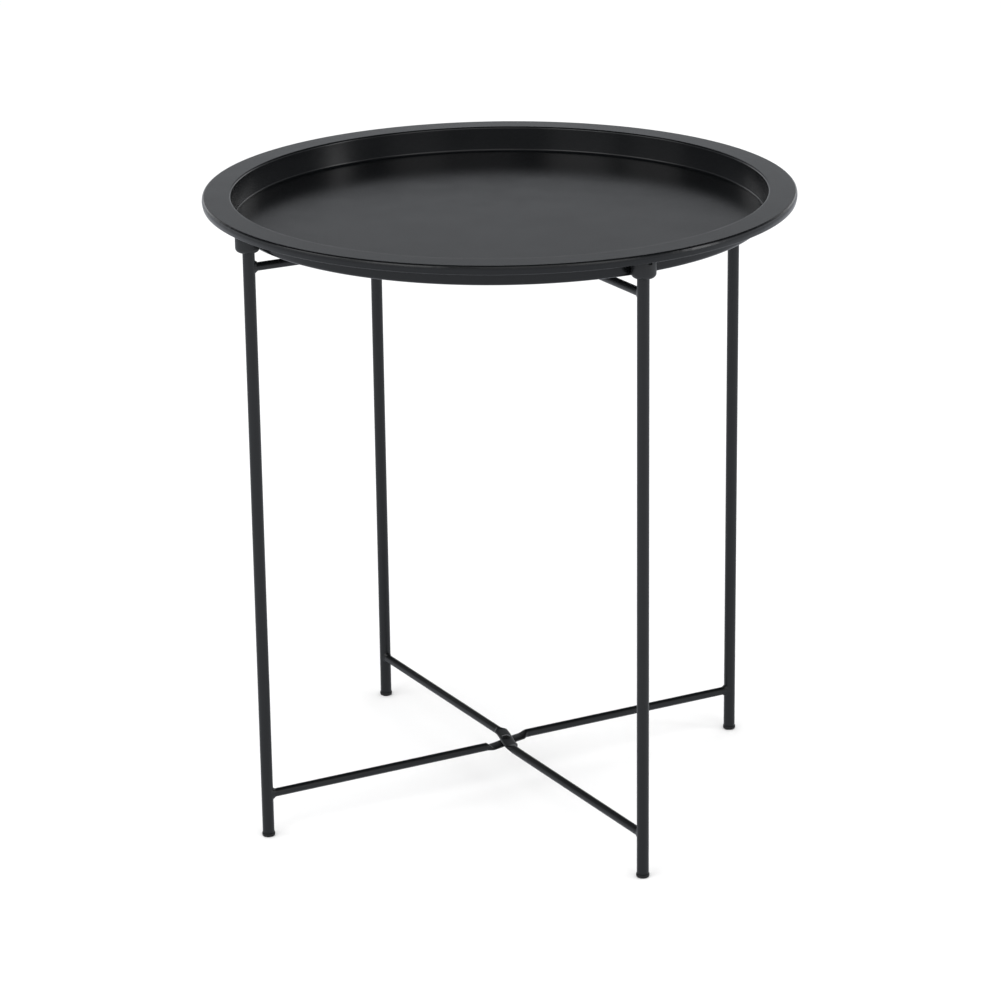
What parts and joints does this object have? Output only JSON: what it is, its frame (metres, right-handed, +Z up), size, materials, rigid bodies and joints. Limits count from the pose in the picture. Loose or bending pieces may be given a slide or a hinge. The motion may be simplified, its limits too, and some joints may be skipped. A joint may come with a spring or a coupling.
{
  "type": "folding tray table",
  "caption": "Round steel tray table on slim crossed leg frames; the tray lifts off and the riveted frames fold flat together.",
  "frame": {"origin": "on the floor, midway between the four legs, under the centre of the tray", "axes": "+Z up, along the frame's folding axis; +X to the right and +Y to the back, with the legs on the four diagonals"},
  "size_m": [0.4707, 0.4708, 0.509],
  "materials": {
    "tray_coat": "satin black powder coat with a fine grain",
    "frame_coat": "satin black powder coat",
    "cap_plastic": "matt black moulded plastic",
    "foot_plastic": "matt black moulded plastic",
    "rivet_steel": "satin black coat over steel",
    "washer_plastic": "matt black moulded plastic"
  },
  "bodies": {
    "frame_a": {"leg_front_right": "frame_coat", "leg_cap_front_right": "cap_plastic", "foot_glide_front_right": "foot_plastic", "leg_back_left": "frame_coat", "leg_cap_back_left": "cap_plastic", "foot_glide_back_left": "foot_plastic", "cross_rod_a_lower": "frame_coat", "cross_rod_a_upper": "frame_coat", "weld_beads_a": "frame_coat", "pivot_rivet_lower": "rivet_steel", "pivot_rivet_upper": "rivet_steel", "pivot_washer_lower": "washer_plastic", "pivot_washer_upper": "washer_plastic"},
    "frame_b": {"leg_back_right": "frame_coat", "leg_cap_back_right": "cap_plastic", "foot_glide_back_right": "foot_plastic", "leg_front_left": "frame_coat", "leg_cap_front_left": "cap_plastic", "foot_glide_front_left": "foot_plastic", "cross_rod_b_lower": "frame_coat", "cross_rod_b_upper": "frame_coat", "weld_beads_b": "frame_coat"},
    "tray": {"tray_top": "tray_coat"}
  },
  "joints": [
    {"name": "frame_fold", "type": "hinge", "parent": "frame_a", "child": "frame_b", "pos_m": [0, 0, 0], "axis": [0, 0, 1], "range_deg": [-84, 36]},
    {"name": "tray_lift", "type": "slide", "parent": "frame_a", "child": "tray", "axis": [0, 0, 1], "range_m": [0, 0.08]}
  ]
}
